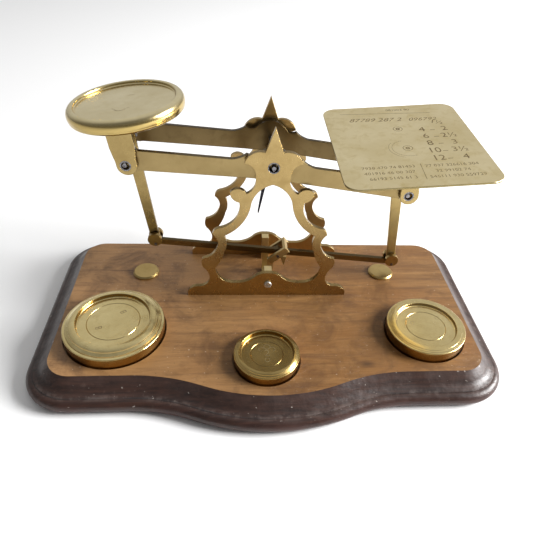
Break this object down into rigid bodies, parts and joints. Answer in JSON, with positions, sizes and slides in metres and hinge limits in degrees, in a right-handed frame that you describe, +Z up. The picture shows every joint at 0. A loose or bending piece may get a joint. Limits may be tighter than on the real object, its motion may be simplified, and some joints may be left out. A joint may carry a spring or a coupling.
{
  "type": "postal balance scale",
  "caption": "Brass beam balance with a round pan, a rectangular letter plate and loose disc weights on a moulded wooden base.",
  "frame": {"origin": "middle of the wooden base's footprint to within 0.3 mm, on the surface it stands on", "axes": "+X to the right, towards the letter plate; +Y to the rear; +Z up"},
  "size_m": [0.2682, 0.16, 0.1341],
  "materials": {
    "dark_edge_wood": "dark stained, worn satin",
    "panel_wood": "light stained, satin, scratched",
    "frame_brass": "lacquered, lightly brushed",
    "beam_brass": "lacquered, slightly aged",
    "dull_brass": "aged",
    "turned_brass": "turned, satin",
    "pan_brass": "polished, fine scratches",
    "plate_brass": "polished, engraved",
    "weight_brass": "turned, satin",
    "steel": "bright to blued, small pieces"
  },
  "bodies": {
    "frame": {"base_plinth": "dark_edge_wood", "base_panel": "panel_wood", "base_screws": "steel", "stop_disc_left": "turned_brass", "stop_disc_right": "turned_brass", "frame_plate_front": "frame_brass", "frame_plate_rear": "frame_brass", "centre_ring_front": "steel", "centre_ring_rear": "steel", "foot_post_front": "dull_brass", "foot_post_rear": "dull_brass", "frame_screws": "steel", "stay_post": "dull_brass", "stay_yoke": "dull_brass", "stay_pin": "steel"},
    "beam": {"beam_bar_front": "beam_brass", "beam_bar_rear": "beam_brass", "beam_spacer": "dull_brass", "centre_knife": "steel", "end_knives_left": "steel", "end_knives_right": "steel", "pointer": "steel"},
    "pan_carrier": {"pan_bracket": "beam_brass", "pan": "pan_brass", "pan_rivet": "dull_brass", "end_rings_left": "steel", "leg_left": "beam_brass", "foot_fork_left": "dull_brass", "foot_pin_left": "steel"},
    "letter_carrier": {"letter_bracket": "beam_brass", "letter_plate": "plate_brass", "letter_rivets": "dull_brass", "end_rings_right": "steel", "leg_right": "beam_brass", "foot_fork_right": "dull_brass", "foot_pin_right": "steel"},
    "stay": {"stay_bar": "beam_brass"},
    "weight_8oz": {"weight_8oz": "weight_brass"},
    "weight_4oz": {"weight_4oz": "weight_brass"},
    "weight_2oz": {"weight_2oz": "weight_brass"}
  },
  "joints": [
    {"name": "beam_tilt", "type": "hinge", "parent": "frame", "child": "beam", "pos_m": [0, 0.0339, 0.102], "axis": [0, 1, 0], "range_deg": [-17.4, 4.8]},
    {"name": "pan_carrier_hinge", "type": "hinge", "parent": "beam", "child": "pan_carrier", "pos_m": [-0.07638, 0.0339, 0.10617], "axis": [0, 1, 0], "range_deg": [-5.08, 18.4]},
    {"name": "letter_carrier_hinge", "type": "hinge", "parent": "beam", "child": "letter_carrier", "pos_m": [0.07562, 0.0339, 0.09047], "axis": [0, 1, 0], "range_deg": [-5.08, 18.4]},
    {"name": "stay_tilt", "type": "hinge", "parent": "frame", "child": "stay", "pos_m": [0.0069, 0.0339, 0.0343], "axis": [0, 1, 0], "range_deg": [-17.41, 4.81]},
    {"name": "weight_8oz_lift", "type": "slide", "parent": "frame", "child": "weight_8oz", "axis": [0, 0, 1], "range_m": [0, 0.04]},
    {"name": "weight_4oz_lift", "type": "slide", "parent": "frame", "child": "weight_4oz", "axis": [0, 0, 1], "range_m": [0, 0.04]},
    {"name": "weight_2oz_lift", "type": "slide", "parent": "frame", "child": "weight_2oz", "axis": [0, 0, 1], "range_m": [0, 0.04]}
  ],
  "couplings": [
    {"joint": "pan_carrier_hinge", "follows": "beam_tilt", "ratio": -1.057},
    {"joint": "letter_carrier_hinge", "follows": "beam_tilt", "ratio": -1.057},
    {"joint": "stay_tilt", "follows": "beam_tilt", "ratio": 1}
  ]
}
